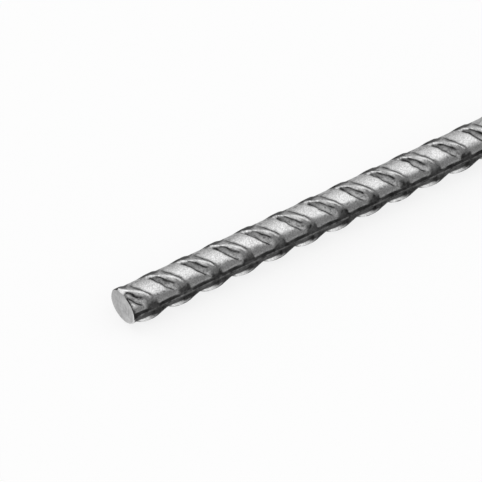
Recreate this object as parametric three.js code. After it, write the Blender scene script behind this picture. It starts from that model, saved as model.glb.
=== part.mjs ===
// A straight length of hot-rolled ribbed reinforcing bar, cut square at both ends.
// It lies along X with the middle of its length at the origin. The round core carries two side
// ribs, rolled in one piece with it, which run the whole length on -Y and +Y.
// Millimetres, +Z up.

import * as THREE from 'three';

// The cut length and the bar's section
const barLength = 600;
const coreDiameter = 15.4;
const sideRibHeight = 0.8;         // from the core to the crest
const sideRibCrestWidth = 0.9;     // flat crest, before its edges are rounded
const sideRibFlankAngle = 52;      // degrees, between a flank and the radius through the crest
const sideRibRootFillet = 0.8;     // where a flank runs out into the core
const sideRibCrestRounding = 0.2;  // along both edges of the crest

// Facets of the curved stretches
const coreFacets = 27;             // on the core between the side ribs; odd, so a facet is lowest
const rootFilletFacets = 4;
const crestRoundingFacets = 3;

// A point at an angle on a circle
const onCircle = (centre, radius, angle) => new THREE.Vector2(
  centre.x + radius * Math.cos(angle),
  centre.y + radius * Math.sin(angle),
);

// Points along an arc from one angle to another, both ends included
function arc(centre, radius, from, to, facets) {
  return Array.from({ length: facets + 1 }, (_, step) => (
    onCircle(centre, radius, from + (to - from) * step / facets)
  ));
}

// One half of a side rib whose crest points along +y: round the edge of the crest, down the flank
// and through the root fillet onto the core.
function sideRibHalf() {
  const coreRadius = coreDiameter / 2;
  const crestRadius = coreRadius + sideRibHeight;
  const flankAngle = THREE.MathUtils.degToRad(sideRibFlankAngle);
  const outOfFlank = new THREE.Vector2(Math.cos(flankAngle), Math.sin(flankAngle));
  const downFlank = new THREE.Vector2(Math.sin(flankAngle), -Math.cos(flankAngle));
  const crestCorner = new THREE.Vector2(sideRibCrestWidth / 2, crestRadius);

  // The crest's rounding touches the crest and the flank, with its centre inside the rib
  const crestSetback = sideRibCrestRounding * (1 - Math.sin(flankAngle)) / Math.cos(flankAngle);
  const roundingCentre = new THREE.Vector2(
    crestCorner.x - crestSetback,
    crestRadius - sideRibCrestRounding,
  );

  // The root fillet touches the flank and the core from outside, so its centre lies one fillet
  // radius off the flank's line and one fillet radius off the core
  const offFlank = outOfFlank.clone().multiplyScalar(sideRibRootFillet).add(crestCorner);
  const centreRadius = coreRadius + sideRibRootFillet;
  const fall = -offFlank.dot(downFlank);
  const down = fall - Math.sqrt(fall ** 2 - offFlank.lengthSq() + centreRadius ** 2);
  const filletCentre = downFlank.clone().multiplyScalar(down).add(offFlank);
  const filletStart = outOfFlank.clone().negate().angle();
  const filletEnd = filletCentre.clone().negate().angle();

  return [
    ...arc(roundingCentre, sideRibCrestRounding, Math.PI / 2, flankAngle, crestRoundingFacets),
    ...arc(filletCentre, sideRibRootFillet, filletStart, filletEnd, rootFilletFacets),
  ];
}

// The whole section: one side of it from crest to crest, and the same turned half a turn
function barSection() {
  const ribHalf = sideRibHalf();
  const oppositeRibHalf = ribHalf.map((point) => new THREE.Vector2(point.x, -point.y)).reverse();
  const coreStart = ribHalf.at(-1).angle();
  const core = arc(new THREE.Vector2(), coreDiameter / 2, coreStart, -coreStart, coreFacets);
  const side = [...ribHalf, ...core.slice(1, -1), ...oppositeRibHalf];
  return new THREE.Shape([...side, ...side.map((point) => point.clone().negate())]);
}

// The section is extruded along its own z, which is then laid along X
function reinforcingBar() {
  const geometry = new THREE.ExtrudeGeometry(barSection(), { depth: barLength, bevelEnabled: false });
  const material = new THREE.MeshStandardMaterial({ color: 0x8c8c8c, roughness: 0.45, metalness: 0.8 });
  const bar = new THREE.Mesh(geometry, material);
  bar.name = 'reinforcing_bar';
  bar.rotation.y = Math.PI / 2;
  bar.position.x = -barLength / 2;
  return bar;
}

const part = new THREE.Group();
part.add(reinforcingBar());

export default part;
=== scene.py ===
# A ribbed reinforcing bar: its rolled surface with the cross ribs, the steel's finish with painted light
# and shade, and a plain studio

import math
from types import SimpleNamespace
import bpy
import numpy as np
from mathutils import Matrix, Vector


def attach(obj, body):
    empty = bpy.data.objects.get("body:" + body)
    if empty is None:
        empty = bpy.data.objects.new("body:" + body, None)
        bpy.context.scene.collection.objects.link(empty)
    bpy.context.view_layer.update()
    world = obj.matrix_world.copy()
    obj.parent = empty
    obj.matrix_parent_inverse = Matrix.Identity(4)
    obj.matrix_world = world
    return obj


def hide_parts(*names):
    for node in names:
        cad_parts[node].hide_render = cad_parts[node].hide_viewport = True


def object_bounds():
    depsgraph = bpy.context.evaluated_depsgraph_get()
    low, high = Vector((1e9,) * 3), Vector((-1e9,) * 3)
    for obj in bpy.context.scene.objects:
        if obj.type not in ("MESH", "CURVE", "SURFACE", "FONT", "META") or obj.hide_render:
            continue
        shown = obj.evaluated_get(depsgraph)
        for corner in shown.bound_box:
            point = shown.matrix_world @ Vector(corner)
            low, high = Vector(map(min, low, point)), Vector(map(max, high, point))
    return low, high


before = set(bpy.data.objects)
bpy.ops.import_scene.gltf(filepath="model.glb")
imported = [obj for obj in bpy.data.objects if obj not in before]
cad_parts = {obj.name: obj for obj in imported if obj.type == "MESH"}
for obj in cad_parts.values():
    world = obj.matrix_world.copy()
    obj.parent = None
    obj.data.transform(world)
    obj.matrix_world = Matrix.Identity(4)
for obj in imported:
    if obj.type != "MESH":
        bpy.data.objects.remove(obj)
cadLow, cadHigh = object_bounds()
print("frame loaded, bar", round((cadHigh.x - cadLow.x) * 1000), "mm long")

mm = 0.001

# Angles go round the bar in degrees from the front side rib, 0, over the crown, 90, to the back side rib,
# 180. The lower row of cross ribs mirrors the upper one. Along the bar, a rib's shape is given from a
# point of its own, which lies on its near foot a little in front of the crown.
# Three numbers together are an amount and where it comes in. In a rise it grows from the second number
# to the third. In a swell it stands at the second and falls off over the third to each side.
bar = {
    "coreRadius": (cadHigh.z - cadLow.z) / 2,
    "sideRibRadius": (cadHigh.y - cadLow.y) / 2,
    "sideRibHalfCrest": 0.45 * mm,
    "sideRibFlank": 52,                     # degrees between a flank and the radius through the crest
    "sideRibCrestRound": 0.10 * mm,
    "sideRibRootRound": 0.22 * mm,
    "pitch": 15.9 * mm,
    "firstRib": 0.77 * mm,                  # from the -X end to the first rib's own point
    "lowerRowLead": 5.0 * mm,               # the lower row lies this far ahead of the upper one
    "ribMiddle": 1.95 * mm,                 # on the crown
    "ribLean": 4.75 * mm,                   # how far a rib runs along the bar for each radian round it
    "ribLeanBend": 1.05 * mm,               # and how that grows towards the front
    "ribMiddleMost": 9.2 * mm,              # until it straightens at the side rib
    "ribStraighten": 2.0 * mm,              # over this much
    "ribBulge": (0.35 * mm, 106, 8),        # swell: it runs a little further just behind the crown
    "ribWidth": 7.5 * mm,
    "widerFront": (0.12, 82, 52),           # rise: shares by which it is wider in front of the crown,
    "widerRear": (0.17, 104, 128),          # towards its rear end
    "widerLower": (0.15, 95, 55),           # and in the lower row,
    "narrowEnd": (0.20, 46, 5),             # and narrower at the front side rib
    "crestStart": 0.11,                     # share of the width from the near foot to the crest;
    "crestFurtherFront": (0.30, 46, 30),    # swell: more in front of the crown
    "crestFurtherCrown": (0.035, 76, 9),    # swell: and close to it
    "crestFurtherRear": (0.30, 108, 135),   # rise: and towards the rear end
    "crestNearerLower": (0.17, 110, 70),    # rise: less in the lower row
    "crestWidth": 0.22,                     # share of the width
    "crestWiderRear": (0.22, 98, 125),      # rise
    "lowerFarReach": 0.55 * mm,             # the lower row's far feet reach this much further
    "lowerCrestReach": 0.55,                # and their crests by this share of it
    "rearFarReach": (0.6 * mm, 100, 118),   # rise: the far feet of all ribs reach further at the rear
    "nearFootLate": (0.15 * mm, 60, 52),    # rise: the near foot starts later in front of the crown
    "nearFootLater": (0.25 * mm, 42, 28),   # rise: and again at the side rib
    "ribHeight": 1.83 * mm,
    "ribHeightSkew": 0.61,                  # under 1 puts the highest part in front of the crown
    "ribHeightPower": 1.9,
    "peakRound": 0.10,                      # shares of the height: where the two flanks would meet,
    "crestRound": 0.22,                     # where a flank turns into the crest
    "footRound": 0.16,                      # and where it runs out
    "ribEdgeRound": 0.12 * mm,              # where a cross rib runs into the core or a side rib
    "endSlant": 4.3,                        # degrees that the sheared end leans from square
    "endSlantFrom": 138,                    # the angle round the bar at which it is longest
    "endBevel": 0.15 * mm,
    "endRollOver": (0.55 * mm, 92, 36),     # swell: the edge drawn over where the blade went in
    "sideRibEndBevel": (0.80 * mm, 0, 8),   # swell
    "faceRim": 0.075,                       # share of the cut face's radius that its rim, with its painted highlight, takes
}

# Places across one pitch: 0 and 3 are a cross rib's near and far foot, 1 and 2 the edges of its crest,
# and 4 is the next rib's near foot. Rows of the mesh stand closer where the surface bends.
ribRows = [0, 0.10, 0.24, 0.46, 0.70, 0.88,
           1, 1.14, 1.34, 1.60, 1.84,
           2, 2.16, 2.36, 2.58, 2.76, 2.89,
           3, 3.035, 3.09, 3.20, 3.38, 3.58, 3.78, 3.91, 3.965]
# Columns, in degrees from the middle of a side rib to the end of its root fillet
sideRibColumns = [0, 1.3, 2.5, 3.1, 3.8, 6.0, 8.8, 11.2, 12.4, 13.4, 14.4]
crownColumns = 25


def smoothMin(a, b, size):
    # the smaller of two values, with the corner where they cross rounded over a band of this size
    share = np.clip(0.5 + 0.5 * (b - a) / size, 0, 1)
    return b + (a - b) * share - size * share * (1 - share)


def smoothMax(a, b, size):
    # the larger of the two, in the same way
    return -smoothMin(-a, -b, size)


def mix(a, b, share):
    # a where the share is 0, and b where it is 1
    return a + (b - a) * share


def ramp(value, start, end):
    # from 0 at start to 1 at end, level at both
    share = np.clip((value - start) / (end - start), 0, 1)
    return share * share * (3 - 2 * share)


def plateau(value, start, full, stillFull, end):
    # 1 between the two middle values, and 0 outside the outer two
    return ramp(value, start, full) * (1 - ramp(value, stillFull, end))


def bell(value, middle, halfWidth):
    # 1 at the middle, falling off on both sides
    return np.exp(-((value - middle) / halfWidth) ** 2)


def rise(value, amount, start, end):
    # an amount that comes in between two values
    return amount * ramp(value, start, end)


def swell(value, amount, middle, halfWidth):
    # an amount that is there round one value
    return amount * bell(value, middle, halfWidth)


def sectionRadius(around):
    # the plain bar: the core's circle, or a side rib where that stands higher; a side rib is the lower
    # of its flat crest and its straight flank, both as distances from the axis
    toRib = np.arcsin(np.abs(np.sin(around)))
    flank = math.radians(bar["sideRibFlank"])
    reach = math.cos(flank) * bar["sideRibHalfCrest"] + math.sin(flank) * bar["sideRibRadius"]
    onFlank = reach / np.sin(np.minimum(toRib + flank, math.pi / 2))
    onCrest = bar["sideRibRadius"] / np.maximum(np.cos(toRib), 0.1)
    rib = smoothMin(onCrest, onFlank, bar["sideRibCrestRound"])
    return smoothMax(rib, bar["coreRadius"], bar["sideRibRootRound"])


def crossRib(front, lower):
    # for an angle from the front side rib: where the rib's near foot, crest edges and far foot lie along
    # the bar, and its height. It is a lens that leans back over the crown, and its crest runs from close
    # to the near foot behind the crown to nearly half of the width in front of it
    fromCrown = math.pi / 2 - front
    degrees = np.degrees(front)
    middle = bar["ribMiddle"] + bar["ribLean"] * fromCrown + bar["ribLeanBend"] * fromCrown ** 2
    middle = smoothMin(middle, bar["ribMiddleMost"], bar["ribStraighten"])
    middle = middle + swell(degrees, *bar["ribBulge"])
    width = bar["ribWidth"] * (1 + rise(degrees, *bar["widerFront"]))
    width = width * (1 + rise(degrees, *bar["widerRear"]))
    width = width * (1 + lower * rise(degrees, *bar["widerLower"]))
    width = width * (1 - rise(degrees, *bar["narrowEnd"]))
    crestShare = bar["crestStart"] + swell(degrees, *bar["crestFurtherFront"])
    crestShare = crestShare + swell(degrees, *bar["crestFurtherCrown"])
    crestShare = crestShare + rise(degrees, *bar["crestFurtherRear"])
    crestShare = crestShare - lower * rise(degrees, *bar["crestNearerLower"])
    near = middle - width / 2
    crestStart = near + crestShare * width
    crestEnd = crestStart + (bar["crestWidth"] + rise(degrees, *bar["crestWiderRear"])) * width
    crestEnd = crestEnd + bar["lowerCrestReach"] * bar["lowerFarReach"] * lower
    far = near + width + bar["lowerFarReach"] * lower + rise(degrees, *bar["rearFarReach"])
    near = near + rise(degrees, *bar["nearFootLate"]) + rise(degrees, *bar["nearFootLater"])
    highest = np.maximum(np.sin(math.pi * (front / math.pi) ** bar["ribHeightSkew"]), 0)
    return np.stack([near, crestStart, crestEnd, far]), bar["ribHeight"] * highest ** bar["ribHeightPower"]


def slantedEnd(radius, around):
    # how far the sheared face lies inside the square end, at a point of its rim
    fromLongest = around - math.radians(bar["endSlantFrom"])
    return math.tan(math.radians(bar["endSlant"])) * (bar["sideRibRadius"] - radius * np.cos(fromLongest))


def barColumns():
    # the columns' angles: from the front side rib over the crown to the back one, and back below
    side = np.array(sideRibColumns, dtype=float)
    crown = np.linspace(side[-1], 180 - side[-1], crownColumns + 2)[1:-1]
    upper = np.concatenate([side, crown, 180 - side[::-1]])
    return np.radians(np.concatenate([upper, -upper[-2:0:-1]]))


def barGrid():
    # a sheared grid: each column has its rows where the cross rib's feet and crest edges cross it, and
    # a point's radius is the larger of the plain section's and the rib's
    around = barColumns()
    sideSpan = math.radians(sideRibColumns[-1])
    aboveSide = np.arcsin(np.sin(around))
    lower = ramp(-aboveSide, -sideSpan, sideSpan)
    edges, height = crossRib(np.abs(around), lower)
    knots = np.concatenate([edges, edges[:1] + bar["pitch"]])
    spare = 2                               # pitches beyond each end, for the lean
    pitches = int((cadHigh.x - cadLow.x) / bar["pitch"]) + 2 * spare + 1
    place = np.tile(np.array(ribRows, dtype=float), pitches)
    ribStart = np.repeat(np.arange(pitches) - spare, len(ribRows)) * bar["pitch"]
    ribStart = (ribStart + cadLow.x + bar["firstRib"])[:, None]
    segment = place.astype(int)
    share = (place - segment)[:, None]
    local = mix(knots[segment], knots[segment + 1], share)
    along = ribStart + local + bar["lowerRowLead"] * lower
    near, crestStart, crestEnd, far = edges
    nearFlank = (local - near) / (crestStart - near)
    farFlank = (far - local) / (far - crestEnd)
    relief = smoothMin(smoothMin(nearFlank, farFlank, bar["peakRound"]), 1, bar["crestRound"])
    relief = smoothMax(relief, 0, bar["footRound"])
    ribRadius = bar["coreRadius"] + relief * height
    radius = smoothMax(sectionRadius(around)[None, :], ribRadius, bar["ribEdgeRound"])
    return around, along, radius, steelTone(around, along, local, edges, relief)


# Tones of the steel run from 0 to 1. Some of the dark is scale, and most of the light and dark is painted
# light and shade: painted highlights on the crown and ribs, and painted shade at the sides, behind and
# below.
# Where a tone lies is given in degrees round the bar, or in mm from the rib's own point, one of its feet
# or its crest's near edge, or from the cut end. Two numbers are a ramp's ends, or a line's middle and
# half width, four are a plateau's, and three are a rise or a swell as above.
tones = {
    # unevenness
    "stray": 0.24,                          # mm by which the lines and streaks wander
    "uneven": 0.16,                         # share by which a rib's tones vary
    "sideUneven": 0.38,                     # the same on the side ribs and below them
    "ink": 1.10,                            # how black the lines are, at most 1,
    "inkUneven": 0.25,                      # and by how much that comes and goes
    "endZone": (7, 4),                      # near the cut end the lines are wider and darker
    "ribEdge": (0.03, 0.2),                 # share of the relief at which a rib begins
    # the land between the ribs
    "shadedLand": 0.18,                      # painted shade towards a side rib
    "litLand": 0.54,                           # painted highlight in front of the crown
    "litLandOver": (32, 52),
    "litLandReach": (6, 0, 2.0),               # swell: degrees that it reaches lower by the next rib,
    "litLandReachStray": 8,                    # for each mm of stray,
    "litLandReachEnd": 8,                      # and near the cut end
    "behind": 0.31,                         # painted shade behind the crown
    "behindOver": (80, 118),
    "rearOver": (138, 155),
    # a lighter line by the side rib's root fillet, a painted highlight
    "besideSideRib": 0.27,
    "besideSideRibAt": (15.5, 3.0),
    # the near flank, with painted shade behind the crown and a painted highlight along its foot
    "flank": 0.315,
    "flankShadeRear": 0.18,
    "flankShadeRearOver": (68, 84),
    "flankTop": (-0.1, 0.4),
    "flankLowEnd": (36, 22),
    "flankHighlight": 0.46,
    "flankHighlightAt": (0.95, 0.35),
    "flankHighlightOver": (24, 32, 56, 66),
    "lighterByCut": 0.58,                         # the first flank beside a cut end is lighter
    "lighterByCutFrom": (13, 8),
    "lighterByCutOver": (36, 56),
    # the crest and the far flank, with painted shade behind the crown, towards the far foot, down the
    # front and at the rib's end
    "crest": 0.44,
    "crestShadeRear": 0.30,
    "crestShadeRearOver": (80, 92),
    "crestFrom": (-0.1, 0.5),
    "farShade": 0.14,                       # painted shade towards the far foot behind the crown
    "farShadeFrom": (2.6, 0.2),
    "farShadeOver": (68, 84),
    "crestShadeFront": 0.16,                     # painted shade down the front
    "crestShadeFrontOver": (62, 49),
    "shadedEnd": 0.028,                     # painted shade at the rib's end by the side rib
    "shadedEndOver": (40, 20),
    "shadedEndStray": 15,                   # degrees for each mm of stray
    "shadedEndFrom": (-1.1, 0.4),
    "shadedEndFar": (-0.3, 0.3),
    # painted shade behind the crown, with a slanting front
    "rearShade": 0.012,
    "rearShadeFar": 0.04,
    "rearShadeFarFrom": (0.5, 3.5),
    "rearShadeFrom": 94,
    "rearShadeBend": 0.9,                   # degrees more for each square mm along
    "rearShadeSoft": 8,
    "rearShadeStray": 12,
    "rearShadeNear": (0.2, 0.8),
    "rearShadeBeyond": 0.3,                 # mm that it reaches past the far foot,
    "rearShadeBeyondMore": 3.0,             # and further over a part of the back
    "rearShadeBeyondOver": (108, 126, 132, 150),
    "rearShadeFarSoft": 1.3,
    "rearShadeFarStray": 1.5,
    "rearEnd": 0.10,                        # it pales towards the back side rib
    "rearEndOver": (134, 152),
    # painted highlights as bright streaks, along the crest behind the crown and on the far flank in front
    # of it
    "streakFirst": (6, 3),                  # broader and brighter on a rib that the end cuts
    "streakOffset": (1.5, 95, 76),          # rise: mm past the crest's edge
    "streakBack": (0.65, 94, 109),          # rise
    "streakFirstOffset": 1.0,
    "streakWidth": 0.32,
    "streakWider": (0.26, 94, 84),          # rise
    "streakFirstWider": 0.5,
    "streakOver": (77, 87, 107, 113),
    "streakFirstLower": 6,
    "streakLow": 0.92,                      # its tone by the crown, and further back
    "streakHigh": 0.62,
    "streakHighOver": (95, 101),
    "streakFirstTone": 1.0,
    "farStreak": 0.95,
    "farStreakPlace": 1.35,                 # mm before the far foot
    "farStreakLean": 0.08,                  # and more for each degree above
    "farStreakLeanFrom": 57,
    "farStreakWidth": 0.65,
    "farStreakWider": (0.35, 54, 72),       # rise
    "farStreakFirstWider": (0.4, 12, 8),    # rise, in mm from the cut end
    "farStreakOver": (38, 51, 64, 82),
    # dark lines along the feet, of scale and painted shade, and painted shade along the crest's near edge
    "shadeAndScaleLine": 0.008,
    "faintLine": 0.02,
    "lineWidth": 0.40,
    "lineWiderRear": (0.06, 78, 92),        # rise
    "lineWiderMiddle": (0.07, 54, 14),      # swell
    "lineWiderEnd": 0.24,
    "linePullEnd": 0.15,                    # mm before the foot, near the cut end
    "firstLine": (12, 9),                   # mm from the cut end
    "firstLineWider": 0.10,
    "nearFootOver": (24, 32, 97, 102),
    "nearFootRear": (146, 10),
    "faintOver": (60, 12),
    "crestLineWidth": 0.46,
    "crestLineWider": (0.40, 59, 11),       # swell
    "crestLineWiderEnd": 0.32,
    "crestLinePull": (0.15, 56, 8),         # swell
    "crestLinePullEnd": 0.3,
    "crestLineStray": 1.5,
    "crestLineFrom": (42, 47),
    "crestLineTo": (84, 92),
    "crestLineToEnd": (106, 112),           # near the cut end
    "crestLineRear": (0.8, 142, 9),         # swell
    "crestLineFaint": (66, 78),             # it pales towards the crown
    "farLine": 0.03,
    "farLineLow": 0.13,
    "farLineLowOver": (54, 40),
    "farLineWidth": 0.58,
    "farLineWider": (0.14, 76, 13),         # swell
    "farFootOver": (26, 36, 104, 118),
    "farFootRear": (148, 10),
    # the lower row: painted highlights on its near flanks, over painted shade below
    "under": 0.033,
    "underDeep": 0.022,
    "underDeepOver": (13, 20),
    "underOver": (80, 50),
    "underFlank": 0.56,
    "underFlankOver": (28, 39),
    "underFlankOut": 8,                     # degrees nearer to the side rib by the crest
    "underFlankOutFrom": (-1.2, 0.6),
    "underFlankTop": (-0.3, 0.4),
    "underFlankPast": (1.5, 42, 25),        # rise: mm past the crest towards the side rib
    "underFlankStray": 2,
    "underFlankEven": 0.6,                  # share of it at the side rib,
    "underFlankMore": (0.4, 30, 46),        # rises away from there,
    "underFlankMost": (0.5, 46, 62),
    "underFlankStart": (0.2, 2.4, 0.6),     # and one along its foot
    # the side ribs: painted shade on the flanks, deeper where a cross rib runs in and below, and a painted
    # highlight on the crest
    "sideRibFlank": 0.03,
    "sideRibRoot": 0.008,
    "sideRibRootAt": 1.8,                   # mm from the cross rib's own point
    "sideRibRootWidth": 4.5,
    "sideRibFlankOver": (12.3, 9.1),
    "sideRibFlankWider": (1.8, 0, 2.8),     # swell
    "sideRibBelow": 0.35,                   # share by which the flank below is darker
    "sideRibCrest": 0.08,
    "sideRibCrestTo": (2.6, 3.8),
    "sideRibCrestBelow": (0.7, 0.5, 2.5),   # rise: the same for the crest's lower half
    # the cut ends, with painted shade and painted highlights on the edge and the face
    "cutEdge": 0.66,                        # a painted highlight on the drawn edge over the crown
    "cutEdgeOver": (80, 86, 106, 114),
    # painted shade up the front of the cut edge, and a painted highlight round its lower front
    "cutEdgeDark": (-10, -4, 60, 74),
    "cutEdgeHighlight": (-60, -40, -16, -10),
    "cutFace": 0.47,
    # painted shade on the face towards its upper back edge
    "cutFaceSlope": 0.05,
    "cutFaceSlopeFrom": -50,
    # a painted highlight on the face's rim
    "cutRim": 0.92,
    "cutRimOver": (-70, -40, 18, 40),
}

# A slow wave over the surface, which keeps lines and tones uneven
waves = {
    "height": 0.4,
    "sines": ((0.83, 0.9), (1.31, -0.57), (0.37, 1.93), (0.19, -0.31)),    # radians to a mm, both ways
    "round": 8,                             # what a radian round the bar counts, as mm
    "shift": (7.3, 3.1),                    # mm along and round the bar from one wave to the next
}


def wander(along, around, number):
    # a sum of sines of unrelated lengths and directions, within about 1 either way
    a = along / mm + waves["shift"][0] * number
    b = around * waves["round"] + waves["shift"][1] * number
    return waves["height"] * sum(np.sin(onward * a + sideways * b) for onward, sideways in waves["sines"])


def surfacePlaces(around, along, local, edges, relief):
    # for each point: degrees round the bar, mm from its rib's lines and from the cut end, and waves for
    # the lines' places and the tones
    near, crestStart, far = edges[0], edges[1], edges[3]
    spot = SimpleNamespace(around=around, along=along)
    spot.degrees = np.degrees(np.abs(around))[None, :] + 0 * local
    spot.below = (around[None, :] < 0) + 0 * local
    spot.fromSide = np.minimum(spot.degrees, 180 - spot.degrees)
    spot.local = local / mm
    spot.pastCrest = (local - crestStart) / mm
    spot.pastNear = (local - near) / mm
    spot.beforeFar = (far - local) / mm
    spot.beforeNext = (near + bar["pitch"] - local) / mm
    slant = slantedEnd(bar["coreRadius"], around)
    spot.fromEnd = (np.minimum(along - cadLow.x, cadHigh.x - along) - slant) / mm
    spot.atEnd = ramp(spot.fromEnd, *tones["endZone"])
    spot.stray = [tones["stray"] * wander(along, around, number) for number in range(4)]
    spot.uneven = 1 + tones["uneven"] * wander(along, around, 4)
    spot.ink = np.clip(tones["ink"] + tones["inkUneven"] * wander(along, around, 5), spot.atEnd, 1)
    spot.onRib = ramp(relief, *tones["ribEdge"])
    return spot


def landTone(spot):
    # painted shade by the side ribs, a painted highlight in front of the crown, painted shade behind it,
    # and a painted highlight by the side rib's root
    reach = swell(spot.beforeNext, *tones["litLandReach"])
    reach = reach + tones["litLandReachStray"] * spot.stray[3] + tones["litLandReachEnd"] * spot.atEnd
    tone = mix(tones["shadedLand"], tones["litLand"], ramp(spot.degrees + reach, *tones["litLandOver"]))
    tone = mix(tone, tones["behind"], ramp(spot.degrees, *tones["behindOver"]))
    tone = mix(tone, tones["shadedLand"], ramp(spot.degrees, *tones["rearOver"]))
    return mix(tone, tones["besideSideRib"], bell(spot.fromSide, *tones["besideSideRibAt"]))


def nearFlanks(tone, spot):
    # grey between the near foot and the crest, with painted shade behind the crown and a painted highlight
    # along the foot
    onFlank = spot.onRib * (1 - ramp(spot.pastCrest, *tones["flankTop"]))
    flank = mix(tones["flank"], tones["flankShadeRear"], ramp(spot.degrees, *tones["flankShadeRearOver"]))
    flank = mix(flank, tones["besideSideRib"], ramp(spot.degrees, *tones["flankLowEnd"]))
    tone = mix(tone, spot.uneven * flank, onFlank)
    line = bell(spot.pastNear, *tones["flankHighlightAt"]) * plateau(spot.degrees, *tones["flankHighlightOver"])
    tone = mix(tone, tones["flankHighlight"], onFlank * line)
    lighterByCut = ramp(spot.fromEnd, *tones["lighterByCutFrom"]) * ramp(spot.degrees, *tones["lighterByCutOver"])
    return mix(tone, np.maximum(tone, tones["lighterByCut"]), lighterByCut * onFlank * (1 - spot.below))


def crests(tone, spot):
    # pale from the crest to the far foot, with painted shade towards that foot, behind the crown and down
    # the front, and where the rib ends at the side rib
    past = spot.onRib * ramp(spot.pastCrest, *tones["crestFrom"])
    crest = mix(tones["crest"], tones["crestShadeRear"], ramp(spot.degrees, *tones["crestShadeRearOver"]))
    tone = mix(tone, spot.uneven * crest, past)
    shade = ramp(spot.beforeFar, *tones["farShadeFrom"]) * ramp(spot.degrees, *tones["farShadeOver"])
    tone = mix(tone, tones["farShade"], past * shade)
    tone = mix(tone, tones["crestShadeFront"], past * ramp(spot.degrees, *tones["crestShadeFrontOver"]))
    fromSide = spot.fromSide + tones["shadedEndStray"] * spot.stray[2]
    shaded = ramp(fromSide, *tones["shadedEndOver"])
    shaded = shaded * ramp(spot.pastCrest + spot.stray[1], *tones["shadedEndFrom"])
    shaded = shaded * ramp(spot.beforeFar, *tones["shadedEndFar"])
    return mix(tone, tones["shadedEnd"] * spot.uneven ** 2, shaded)


def rearShade(tone, spot):
    # painted shade, dark from an angle that grows with the square of the place along, out past the far
    # foot
    start = tones["rearShadeFrom"] + tones["rearShadeBend"] * spot.local ** 2
    degrees = spot.degrees + tones["rearShadeStray"] * spot.stray[1]
    # scale here is the share of the painted shade
    scale = ramp(degrees, start, start + tones["rearShadeSoft"])
    scale = scale * ramp(spot.pastNear, *tones["rearShadeNear"])
    beyond = plateau(spot.degrees, *tones["rearShadeBeyondOver"])
    beyond = tones["rearShadeBeyond"] + tones["rearShadeBeyondMore"] * beyond
    beforeFar = spot.beforeFar + tones["rearShadeFarStray"] * spot.stray[2]
    scale = scale * ramp(beforeFar, -tones["rearShadeFarSoft"] - beyond, -beyond)
    dark = mix(tones["rearShade"], tones["rearShadeFar"], ramp(spot.local, *tones["rearShadeFarFrom"]))
    dark = mix(dark, tones["rearEnd"], ramp(spot.degrees, *tones["rearEndOver"]))
    return mix(tone, dark, scale)


def paintedHighlights(tone, spot):
    # painted highlights: one bell along the crest's edge behind the crown, and one along the far foot in
    # front of it
    degrees = spot.degrees
    first = ramp(spot.fromEnd, *tones["streakFirst"])
    offset = rise(degrees, *tones["streakOffset"]) - rise(degrees, *tones["streakBack"])
    offset = mix(offset, np.maximum(offset, tones["streakFirstOffset"]), first)
    width = tones["streakWidth"] + rise(degrees, *tones["streakWider"])
    width = width + tones["streakFirstWider"] * first
    start, full, stillFull, end = tones["streakOver"]
    rear = bell(spot.pastCrest + spot.stray[0], offset, width)
    rear = rear * plateau(degrees, start - tones["streakFirstLower"] * first, full, stillFull, end)
    light = mix(tones["streakLow"], tones["streakHigh"], ramp(degrees, *tones["streakHighOver"]))
    tone = mix(tone, mix(light, tones["streakFirstTone"], first), rear)
    lean = tones["farStreakLean"] * np.maximum(degrees - tones["farStreakLeanFrom"], 0)
    place = tones["farStreakPlace"] + lean + spot.stray[1]
    width = tones["farStreakWidth"] + rise(degrees, *tones["farStreakWider"])
    width = width + rise(spot.fromEnd, *tones["farStreakFirstWider"])
    front = bell(spot.beforeFar, place, width) * plateau(degrees, *tones["farStreakOver"])
    return mix(tone, tones["farStreak"], spot.onRib * front)


def shadeAndScaleLines(tone, spot):
    # bells of scale and painted shade whose middles stray: first along the near foot and the next rib's
    degrees, atEnd = spot.degrees, spot.atEnd
    width = tones["lineWidth"] + rise(degrees, *tones["lineWiderRear"])
    width = width + swell(degrees, *tones["lineWiderMiddle"]) + tones["lineWiderEnd"] * atEnd
    pull = spot.stray[2] + tones["linePullEnd"] * atEnd
    first = ramp(spot.fromEnd, *tones["firstLine"])
    line = bell(spot.pastNear, -pull, width + tones["firstLineWider"] * first)
    line = line + bell(spot.beforeNext, pull, width)
    line = line * (plateau(degrees, *tones["nearFootOver"]) + bell(degrees, *tones["nearFootRear"]))
    faint = bell(degrees, *tones["faintOver"]) * (1 - first)
    black = mix(tones["shadeAndScaleLine"], tones["faintLine"], faint)
    tone = mix(tone, black, spot.ink * np.minimum(line, 1))
    # then painted shade along the crest's near edge
    pull = tones["crestLineStray"] * spot.stray[3] + tones["crestLinePullEnd"] * atEnd
    pull = pull + swell(degrees, *tones["crestLinePull"])
    width = tones["crestLineWidth"] + tones["crestLineWiderEnd"] * atEnd
    width = width + swell(degrees, *tones["crestLineWider"])
    stillFull, end = [mix(a, b, atEnd) for a, b in zip(tones["crestLineTo"], tones["crestLineToEnd"])]
    over = plateau(degrees, *tones["crestLineFrom"], stillFull, end)
    line = bell(spot.pastCrest, -pull, width) * (over + swell(degrees, *tones["crestLineRear"]))
    faint = ramp(degrees, *tones["crestLineFaint"]) * (1 - atEnd)
    tone = mix(tone, mix(tones["shadeAndScaleLine"], tones["faintLine"], faint), spot.ink * line)
    # and along the far foot
    width = tones["farLineWidth"] + swell(degrees, *tones["farLineWider"])
    line = bell(spot.beforeFar, -spot.stray[0], width)
    line = line * (plateau(degrees, *tones["farFootOver"]) + bell(degrees, *tones["farFootRear"]))
    dark = mix(tones["farLine"], tones["farLineLow"], ramp(degrees, *tones["farLineLowOver"]))
    return mix(tone, dark, spot.ink * line)


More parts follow.
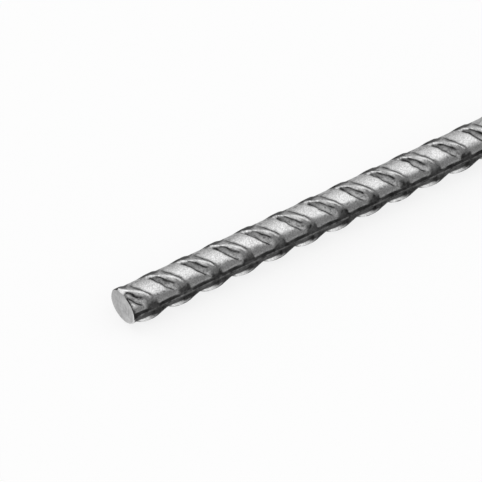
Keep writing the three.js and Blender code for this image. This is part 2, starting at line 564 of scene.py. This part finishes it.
def lowerRow(tone, spot):
    # painted shade all over below, but for the near flanks from some way off the side rib to the crest,
    # which carry a painted highlight
    fromSide = spot.fromSide
    under = spot.below * ramp(fromSide, *tones["underOver"])
    dark = mix(tones["under"], tones["underDeep"], ramp(fromSide, *tones["underDeepOver"]))
    dark = dark * (1 + tones["sideUneven"] * wander(spot.along, spot.around, 6))
    tone = mix(tone, dark, under)
    out = tones["underFlankOut"] * ramp(spot.pastCrest, *tones["underFlankOutFrom"])
    flank = under * spot.onRib * ramp(fromSide + out, *tones["underFlankOver"])
    pastLight = spot.pastCrest - rise(fromSide, *tones["underFlankPast"])
    pastLight = pastLight + tones["underFlankStray"] * spot.stray[0]
    flank = flank * (1 - ramp(pastLight, *tones["underFlankTop"]))
    light = tones["underFlankEven"] + rise(fromSide, *tones["underFlankMore"])
    light = tones["underFlank"] * (light + rise(fromSide, *tones["underFlankMost"]))
    light = light * (1 + rise(spot.pastNear, *tones["underFlankStart"]))
    return mix(tone, light, flank)


def sideRibs(tone, spot):
    # painted shade on the flank, wider and darker round a cross rib's root, and a painted highlight on the
    # crest
    degrees, fromSide = spot.degrees, spot.fromSide
    halfPitch = bar["pitch"] / mm / 2
    pastRoot = np.mod(spot.local - tones["sideRibRootAt"] + halfPitch, 2 * halfPitch) - halfPitch
    root = bell(pastRoot, 0, tones["sideRibRootWidth"])
    flank = mix(tones["sideRibFlank"], tones["sideRibRoot"], root)
    flank = flank * (1 - tones["sideRibBelow"] * spot.below)
    flank = flank * (1 + tones["sideUneven"] * wander(spot.along, spot.around, 8))
    offCrest = ramp(fromSide, *tones["sideRibCrestTo"])
    wider = swell(pastRoot, *tones["sideRibFlankWider"])
    tone = mix(tone, flank, ramp(fromSide - wider, *tones["sideRibFlankOver"]) * offCrest)
    crest = tones["sideRibCrest"] * (1 + tones["sideUneven"] * wander(spot.along, spot.around, 7))
    crest = crest * (1 - spot.below * rise(degrees, *tones["sideRibCrestBelow"]))
    return mix(tone, crest, 1 - offCrest)


def steelTone(around, along, local, edges, relief):
    # each layer lies over the ones before it
    spot = surfacePlaces(around, along, local, edges, relief)
    tone = landTone(spot)
    for layer in (nearFlanks, crests, rearShade, paintedHighlights, shadeAndScaleLines, lowerRow, sideRibs):
        tone = layer(tone, spot)
    return tone


def cutEdgeTone(tone, around):
    # the tone round the cut: painted shade up the front, and painted highlights over the crown and round
    # the lower front
    degrees = np.degrees(around)
    tone = mix(tone, tones["shadeAndScaleLine"], plateau(degrees, *tones["cutEdgeDark"]))
    tone = mix(tone, tones["cutEdge"], plateau(degrees, *tones["cutEdgeOver"]))
    return mix(tone, tones["lighterByCut"], plateau(degrees, *tones["cutEdgeHighlight"]))


def cutFaceTone(around, atRim):
    # the cut face, with painted shade towards its upper back edge and a painted highlight on its rim round
    # the lower front
    slope = np.cos(around - math.radians(tones["cutFaceSlopeFrom"]))
    face = tones["cutFace"] + tones["cutFaceSlope"] * slope
    return mix(face, tones["cutRim"], atRim * plateau(np.degrees(around), *tones["cutRimOver"]))


# The map of the finish: the skin unrolled in strips of whole rows, one above the other, and the two cut
# faces side by side over them
layout = {
    "strips": 4,
    "stripHeight": 0.23,                    # shares of the map
    "gap": 0.003,
    "margin": 0.004,
    "faceAcross": 0.10,
    "faceFill": 0.96,
}


def skinPlaces(part, strip, place, turn, lows, span):
    # places on the map for the skin: along the bar across it, and round the bar upwards
    angle = turn[part]
    crosses = (np.ptp(angle, axis=1) > 0.5)[:, None]
    angle = np.where(crosses & (angle < 0.5), angle + 1, angle)
    across = (place[part] - lows[strip][:, None]) / span
    across = layout["margin"] + (1 - 2 * layout["margin"]) * across
    inStrip = mix(layout["gap"], layout["stripHeight"] - layout["gap"], angle)
    upwards = layout["stripHeight"] * strip[:, None] + inStrip
    return np.stack([across, upwards], -1).reshape(-1, 2)


def facePlaces(part, points, number):
    # places on the map for a cut face: the bar's Y across it and Z upwards
    span = 2 * bar["sideRibRadius"]
    left, low = layout["margin"] + number * layout["faceAcross"], layout["strips"] * layout["stripHeight"]
    tall = 1 - low - 2 * layout["gap"]
    across = left + (0.5 + points[part][..., 1] / span) * layout["faceAcross"] * layout["faceFill"]
    upwards = low + layout["gap"] + (0.5 + points[part][..., 2] / span) * tall
    return np.stack([across, upwards], -1).reshape(-1, 2)


def fieldsAt(fields, along, rows, place):
    # each field where its column passes a place along the bar, between a row and the next
    columns = np.arange(along.shape[1])
    share = (place - along[rows, columns]) / (along[rows + 1, columns] - along[rows, columns])
    return [mix(field[rows, columns], field[rows + 1, columns], share) for field in fields]


def stopAtEnds(around, along, radius, tone, inset):
    # draws each column's rows beyond an end onto one ring there, and gives the grids, both rings' radius
    # and tone, and the points' numbers
    rows, columns = along.shape
    first, last = cadLow.x + inset, cadHigh.x - inset
    startRow = (along < first).sum(0) - 1
    endRow = (along <= last).sum(0) - 1
    rings = []
    for row, place in ((startRow, first), (endRow, last)):
        ringRadius, ringTone = fieldsAt((radius, tone), along, row, place)
        rings.append((ringRadius, cutEdgeTone(ringTone, around)))
    rowNumber = np.arange(rows)[:, None]
    atStart, atEnd = rowNumber <= startRow, rowNumber > endRow
    start, end = (first, *rings[0]), (last, *rings[1])
    grids = [np.where(atStart, start[i], np.where(atEnd, end[i], grid))
             for i, grid in enumerate((along, radius, tone))]
    number = np.where(atStart, 0, np.where(atEnd, (rows - 1) * columns, rowNumber * columns))
    return grids, rings, number + np.arange(columns)


def gridFaces(number, strip):
    # the faces between neighbouring points: four corners, or three where a column has come to its end
    right = np.roll(number, -1, axis=1)
    corners = np.stack([number[:-1], number[1:], right[1:], right[:-1]], -1).reshape(-1, 4)
    openLeft, openRight = corners[:, 0] != corners[:, 1], corners[:, 2] != corners[:, 3]
    kinds = ((openLeft & openRight, [0, 1, 2, 3]),
             (openRight & ~openLeft, [0, 2, 3]),
             (openLeft & ~openRight, [0, 1, 2]))
    return [corners[kind][:, order] for kind, order in kinds], [strip[kind] for kind, order in kinds]


def endCap(around, ring, ringNumbers, outward, slant, bevel, count):
    # a narrow bevel from the ring to the sheared face, the face's rim with its painted highlight, and a
    # fan to its middle
    ringRadius, ringTone = ring
    columns = len(around)
    end = cadLow.x if outward < 0 else cadHigh.x
    rim = np.minimum(ringRadius, bar["sideRibRadius"]) - bevel
    middle = end - outward * slantedEnd(0, 0)
    points, faceTones = [], []
    for share in (1, 1 - bar["faceRim"]):
        points.append(np.stack([mix(middle, end - outward * slant, share),
                                -share * rim * np.cos(around), share * rim * np.sin(around)], -1))
        faceTones.append(cutFaceTone(around, share == 1))
    points.append(np.array([[middle, 0, 0]]))
    faceTones.append([tones["cutFace"]])
    bevelTones = np.concatenate([ringTone, ringTone, [0]])
    nextColumn = np.roll(np.arange(columns), -1)
    outer = count + np.arange(columns)
    inner = outer + columns
    band = np.stack([outer, ringNumbers, ringNumbers[nextColumn], outer[nextColumn]], -1)
    rimBand = np.stack([inner, outer, outer[nextColumn], inner[nextColumn]], -1)
    fan = np.stack([np.full(columns, count + 2 * columns), inner, inner[nextColumn]], -1)
    band, rimBand, fan = [part[:, ::-outward] for part in (band, rimBand, fan)]
    return np.concatenate(points), bevelTones, np.concatenate(faceTones), band, [rimBand, fan]


def layMap(mesh, points, turn, skin, strips, caps):
    # each strip of the skin starts at its own low end, and all are laid to one scale
    place = points[:, 0]
    lows = np.full(layout["strips"], np.inf)
    highs = -lows
    for part, strip in zip(skin, strips):
        np.minimum.at(lows, strip, place[part].min(1))
        np.maximum.at(highs, strip, place[part].max(1))
    span = (highs - lows).max()
    places = [skinPlaces(part, strip, place, turn, lows, span) for part, strip in zip(skin, strips)]
    for number, capParts in enumerate(caps):
        places += [facePlaces(part, points, number) for part in capParts]
    onMap = mesh.uv_layers.new(name="OFBake")
    onMap.data.foreach_set("uv", np.concatenate(places).astype(np.float32).ravel())


def ribbedBar():
    # each point stands at its place along X, turned by its column's angle, at its own radius
    around, along, radius, tone = barGrid()
    rows, columns = along.shape
    stripLength = (cadHigh.x - cadLow.x) / layout["strips"]
    stripOfRow = np.clip((along.mean(1) - cadLow.x) // stripLength, 0, layout["strips"] - 1).astype(int)
    # at each end the columns stop on one ring, which a narrow bevel and the cut face close
    slant = slantedEnd(bar["coreRadius"], around)
    bevel = bar["endBevel"] + swell(np.degrees(around), *bar["endRollOver"])
    bevel = bevel + swell(np.degrees(np.abs(np.sin(around))), *bar["sideRibEndBevel"])
    (along, radius, tone), rings, number = stopAtEnds(around, along, radius, tone, bevel + slant)
    skin, strips = gridFaces(number, np.repeat(stripOfRow[:-1], columns))
    points = [np.stack([along, -radius * np.cos(around), radius * np.sin(around)], -1).reshape(-1, 3)]
    skinTones, faceTones = [tone.ravel()], [tone.ravel()]
    turn = np.mod(around / (2 * math.pi), 1)
    turns = [np.tile(turn, rows)]
    caps = []
    for outward, ring, ringNumbers in zip((-1, 1), rings, (number[0], number[-1])):
        count = sum(len(part) for part in points)
        capPoints, bevelTones, capTones, band, cap = endCap(
            around, ring, ringNumbers, outward, slant, bevel, count)
        points.append(capPoints)
        skinTones.append(bevelTones)
        faceTones.append(capTones)
        turns.append(np.append(np.tile(turn, 2), 0))
        skin.append(band)
        strips.append(np.full(columns, 0 if outward < 0 else layout["strips"] - 1))
        caps.append(cap)
    points, turn = np.concatenate(points), np.concatenate(turns)
    skinTones, faceTones = np.concatenate(skinTones), np.concatenate(faceTones)
    # the mesh, from the points that its faces use
    capParts = caps[0] + caps[1]
    parts = skin + capParts
    used = np.zeros(len(points), bool)
    used[np.concatenate([part.ravel() for part in parts])] = True
    renumber = np.cumsum(used) - 1
    faces = [face for part in parts for face in renumber[part].tolist()]
    mesh = bpy.data.meshes.new("ribbed_bar")
    mesh.from_pydata(points[used], [], faces)
    mesh.update()
    isCap = np.arange(len(faces)) >= sum(len(part) for part in skin)
    mesh.polygons.foreach_set("use_smooth", ~isCap)
    mesh.polygons.foreach_set("material_index", isCap.astype(np.int32))
    layMap(mesh, points, turn, skin, strips, caps)
    # tones at the faces' corners, so that the cut face and its bevel part sharply
    cornerTones = [skinTones[part.ravel()] for part in skin]
    cornerTones += [faceTones[part.ravel()] for part in capParts]
    layer = mesh.attributes.new("tone", "FLOAT", "CORNER")
    layer.data.foreach_set("value", np.concatenate(cornerTones).astype(np.float32))
    piece = bpy.data.objects.new("ribbed_bar", mesh)
    bpy.context.collection.objects.link(piece)
    print("ribbed bar:", sum(len(face) - 2 for face in faces), "triangles")
    return piece


class Value:
    # a socket in a node tree; arithmetic on it adds Math nodes
    def __init__(self, tree, socket):
        self.tree = tree
        self.socket = socket

    def calc(self, operation, *values):
        return self.tree.node("ShaderNodeMath", {"operation": operation}, dict(enumerate(values)))

    def __add__(self, other):
        return self.calc("ADD", self, other)

    def __sub__(self, other):
        return self.calc("SUBTRACT", self, other)

    def __rsub__(self, other):
        return self.calc("SUBTRACT", other, self)

    def __mul__(self, other):
        return self.calc("MULTIPLY", self, other)

    __radd__ = __add__
    __rmul__ = __mul__


class Tree:
    # the node tree of a material or a world, cleared
    def __init__(self, owner):
        owner.use_nodes = True
        self.owner = owner
        self.tree = owner.node_tree
        self.tree.nodes.clear()

    def node(self, kind, settings, inputs, output=0):
        # one node: its settings first, then the values or links of its sockets
        made = self.tree.nodes.new(kind)
        for name, value in settings.items():
            setattr(made, name, value)
        for name, value in inputs.items():
            if isinstance(value, Value):
                self.tree.links.new(value.socket, made.inputs[name])
            else:
                made.inputs[name].default_value = value
        return Value(self, made.outputs[output]) if made.outputs else None

    def finish(self, shader, kind="ShaderNodeOutputMaterial"):
        self.node(kind, {}, {"Surface": shader})
        return self.owner

    def noise(self, place, scale, detail, roughness=0.5):
        return self.node("ShaderNodeTexNoise", {}, {
            "Vector": place, "Scale": scale, "Detail": detail, "Roughness": roughness})

    def between(self, value, low, high, kind="LINEAR"):
        # 0 at low and 1 at high
        return self.node("ShaderNodeMapRange", {"interpolation_type": kind}, {
            "Value": value, "From Min": low, "From Max": high})

    def grey(self, bright):
        return self.node("ShaderNodeCombineColor", {}, {"Red": bright, "Green": bright, "Blue": bright})

    def bump(self, height, strength, depth):
        return self.node("ShaderNodeBump", {}, {"Strength": strength, "Distance": depth, "Height": height})


# The rolled skin: the tone with grain, mottle, small pits in the middle tones and patches in the dark
rolled = {
    "grainNoise": (1700.0, 2.0),            # waves to a metre, detail, and roughness if not 0.5
    "mottleNoise": (170.0, 3.0, 0.6),
    "pitNoise": (620.0, 1.0),
    "patchNoise": (430.0, 2.0, 0.6),
    "even": 0.08,                           # shares of the tone's brightness
    "grain": 1.54,
    "mottle": 0.46,
    "pits": 0.50,
    "pitsFrom": (0.50, 0.68),               # of their noise
    "pitsBelow": (0.50, 0.33),              # tones between which they show
    "pitsAbove": (0.19, 0.28),
    "patches": 5.0,
    "patchesBelow": (0.14, 0.07),
    "metalAbove": (0.04, 0.14),             # darker tones, scale and painted shade, are not metal
    "roughness": 0.46,
    "polish": 0.16,                         # taken off by a bright tone
    "grainRoughness": 0.08,
    "bump": 0.25,
    "bumpDepth": 0.05 * mm,
    "specular": 0.15,
}

# The sheared face: upright shear marks, grain and broad patches
cut = {
    "markNoise": (1100.0, 2.0),
    "markStretch": (1.0, 1.0, 0.22),
    "grainNoise": (900.0, 2.0),
    "patchNoise": (190.0, 1.0),
    "even": 0.15,
    "marks": 0.55,
    "grain": 0.55,
    "patches": 0.60,
    "roughness": 0.42,
    "markRoughness": 0.14,
    "bump": 0.3,
    "bumpDepth": 0.06 * mm,
}


def rolledSteel():
    # the tone times its grain and mottle, less in the pits, and uneven where it is dark; a bright tone is
    # smoother, and a dark one isn't metal
    tree = Tree(bpy.data.materials.new("rolled steel"))
    tone = tree.node("ShaderNodeAttribute", {"attribute_name": "tone"}, {}, "Fac")
    place = tree.node("ShaderNodeTexCoord", {}, {}, "Object")
    grain = tree.noise(place, *rolled["grainNoise"])
    mottle = tree.noise(place, *rolled["mottleNoise"])
    patches = tree.noise(place, *rolled["patchNoise"])
    pits = tree.between(tree.noise(place, *rolled["pitNoise"]), *rolled["pitsFrom"], "SMOOTHSTEP")
    pits = pits * (tree.between(tone, *rolled["pitsBelow"]) * tree.between(tone, *rolled["pitsAbove"]))
    dark = tree.between(tone, *rolled["patchesBelow"])
    bright = tone * (rolled["even"] + rolled["grain"] * grain + rolled["mottle"] * mottle)
    bright = bright * (1 - rolled["pits"] * pits)
    bright = bright * (1 + dark * (rolled["patches"] * patches - rolled["patches"] / 2))
    return tree.finish(tree.node("ShaderNodeBsdfPrincipled", {}, {
        "Base Color": tree.grey(bright),
        "Metallic": tree.between(tone, *rolled["metalAbove"]),
        "Roughness": rolled["roughness"] - rolled["polish"] * tone + rolled["grainRoughness"] * grain,
        "Specular IOR Level": rolled["specular"],
        "Normal": tree.bump(grain, rolled["bump"], rolled["bumpDepth"])}))


def cutSteel():
    # the tone times a sum of shear marks, grain and patches; the marks roughen it too
    tree = Tree(bpy.data.materials.new("cut steel"))
    tone = tree.node("ShaderNodeAttribute", {"attribute_name": "tone"}, {}, "Fac")
    place = tree.node("ShaderNodeTexCoord", {}, {}, "Object")
    upright = tree.node("ShaderNodeMapping", {}, {"Vector": place, "Scale": cut["markStretch"]})
    marks = tree.noise(upright, *cut["markNoise"])
    grain = tree.noise(place, *cut["grainNoise"])
    patches = tree.noise(place, *cut["patchNoise"])
    bright = tone * (cut["even"] + cut["marks"] * marks + cut["grain"] * grain + cut["patches"] * patches)
    return tree.finish(tree.node("ShaderNodeBsdfPrincipled", {}, {
        "Base Color": tree.grey(bright),
        "Metallic": 1.0,
        "Roughness": cut["roughness"] + cut["markRoughness"] * marks,
        "Normal": tree.bump(marks, cut["bump"], cut["bumpDepth"])}))


piece = ribbedBar()
piece.data.materials.append(rolledSteel())
piece.data.materials.append(cutSteel())
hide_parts("reinforcing_bar")
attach(piece, "root")
print("bar finished in", len(piece.data.materials), "materials")

# The studio: a wide white floor, a soft lamp over the bar in front and a weaker one behind
studio = {
    "floorSize": 120.0,
    "floorLit": 0.20,                       # share of the floor's white that comes from the light on it
    "floorWhite": (1.0, 1.0, 1.0, 1),
    "floorBounce": (0.8, 0.8, 0.8, 1),      # how it throws light back at the bar
    "worldGrey": (0.8, 0.8, 0.8, 1),
    "worldLevel": 0.95,
    "lampDistance": 2.2,
    "keyFrom": (0.42, -0.28, 0.86),         # the lamp is seen in the steel on the near side of the crown
    "keySize": (2.4, 3.0),
    "keyRadiance": 0.45,
    "backFrom": (-0.55, 0.60, 0.58),
    "backSize": (1.6, 1.6),
    "backRadiance": 0.35,
}


def seenOrMirrored(tree):
    # 1 for a ray from the camera, or by way of metal or glass
    rays = ["Is Camera Ray", "Is Glossy Ray", "Is Transmission Ray"]
    camera, glossy, through = [tree.node("ShaderNodeLightPath", {}, {}, ray) for ray in rays]
    return camera.calc("MAXIMUM", camera, camera.calc("MAXIMUM", glossy, through))


def whiteFloor(height):
    # a square sheet, seen as white by its own light, that keeps some of the bar's shadow
    tree = Tree(bpy.data.materials.new("white floor"))
    lit = tree.node("ShaderNodeBsdfDiffuse", {}, {"Color": studio["floorBounce"]})
    paper = tree.node("ShaderNodeBsdfDiffuse", {}, {"Color": studio["floorWhite"]})
    white = tree.node("ShaderNodeEmission", {}, {"Color": studio["floorWhite"], "Strength": 1.0})
    shown = tree.node("ShaderNodeMixShader", {}, {0: studio["floorLit"], 1: white, 2: paper})
    half = studio["floorSize"] / 2
    corners = [(x, y, height) for x, y in ((-half, -half), (half, -half), (half, half), (-half, half))]
    mesh = bpy.data.meshes.new("floor")
    mesh.from_pydata(corners, [], [(0, 1, 2, 3)])
    mesh.materials.append(tree.finish(
        tree.node("ShaderNodeMixShader", {}, {0: seenOrMirrored(tree), 1: lit, 2: shown})))
    floor = bpy.data.objects.new("floor", mesh)
    bpy.context.collection.objects.link(floor)


def whiteWorld():
    # white where it is seen or mirrored, and a grey light on the rest
    tree = Tree(bpy.data.worlds.new("studio"))
    plain = tree.node("ShaderNodeBackground", {}, {
        "Color": studio["worldGrey"], "Strength": studio["worldLevel"]})
    shown = tree.node("ShaderNodeBackground", {}, {"Color": (1, 1, 1, 1), "Strength": 1.0})
    chosen = tree.node("ShaderNodeMixShader", {}, {0: seenOrMirrored(tree), 1: plain, 2: shown})
    bpy.context.scene.world = tree.finish(chosen, "ShaderNodeOutputWorld")


def softLamp(name, fromDirection, size, radiance):
    # an area lamp aimed at the near end, whose power gives it the stated radiance
    lamp = bpy.data.lights.new(name, "AREA")
    lamp.shape = "RECTANGLE"
    lamp.size, lamp.size_y = size
    lamp.energy = radiance * math.pi * size[0] * size[1]
    holder = bpy.data.objects.new(name, lamp)
    towards = Vector(fromDirection).normalized()
    holder.location = nearEnd + towards * studio["lampDistance"]
    holder.rotation_euler = towards.to_track_quat("Z", "Y").to_euler()
    bpy.context.collection.objects.link(holder)


nearEnd = Vector((cadLow.x, 0, 0))
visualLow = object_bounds()[0]
whiteFloor(visualLow.z)
whiteWorld()
softLamp("key lamp", studio["keyFrom"], studio["keySize"], studio["keyRadiance"])
softLamp("back lamp", studio["backFrom"], studio["backSize"], studio["backRadiance"])
print("studio lit, floor at", round(visualLow.z / mm, 1), "mm")

# The camera: its direction from the bar, and where the -X end's middle lies in the picture
view = {
    "azimuth": -34.9,                       # degrees from the front towards the -X end
    "elevation": 42.5,
    "pictureWidth": 482,                    # pixels
    "endPixel": (121.3, 307.8),             # from the top left corner
    "pixel": 0.4074 * mm,                   # at that end
    "lens": 400,
    "nearest": 0.1,
    "furthest": 200,
}


def placeCamera():
    # aims past the near end's middle by its pixels from the picture's middle, and stands back until a
    # pixel has its stated size there
    camera = bpy.data.cameras.new("camera")
    camera.lens = view["lens"]
    camera.clip_start, camera.clip_end = view["nearest"], view["furthest"]
    azimuth, elevation = math.radians(view["azimuth"]), math.radians(view["elevation"])
    level = math.cos(elevation)
    back = Vector((math.sin(azimuth) * level, -math.cos(azimuth) * level, math.sin(elevation)))
    right = Vector((0, 0, 1)).cross(back).normalized()
    up = back.cross(right)
    middle = view["pictureWidth"] / 2
    across, down = view["endPixel"]
    aim = nearEnd + right * ((middle - across) * view["pixel"]) + up * ((down - middle) * view["pixel"])
    distance = view["pictureWidth"] * view["pixel"] * camera.lens / camera.sensor_width
    holder = bpy.data.objects.new("camera", camera)
    holder.location = aim + back * distance
    holder.rotation_euler = back.to_track_quat("Z", "Y").to_euler()
    bpy.context.collection.objects.link(holder)
    bpy.context.scene.camera = holder


placeCamera()
bpy.context.scene.view_settings.view_transform = "Standard"
print("camera placed")
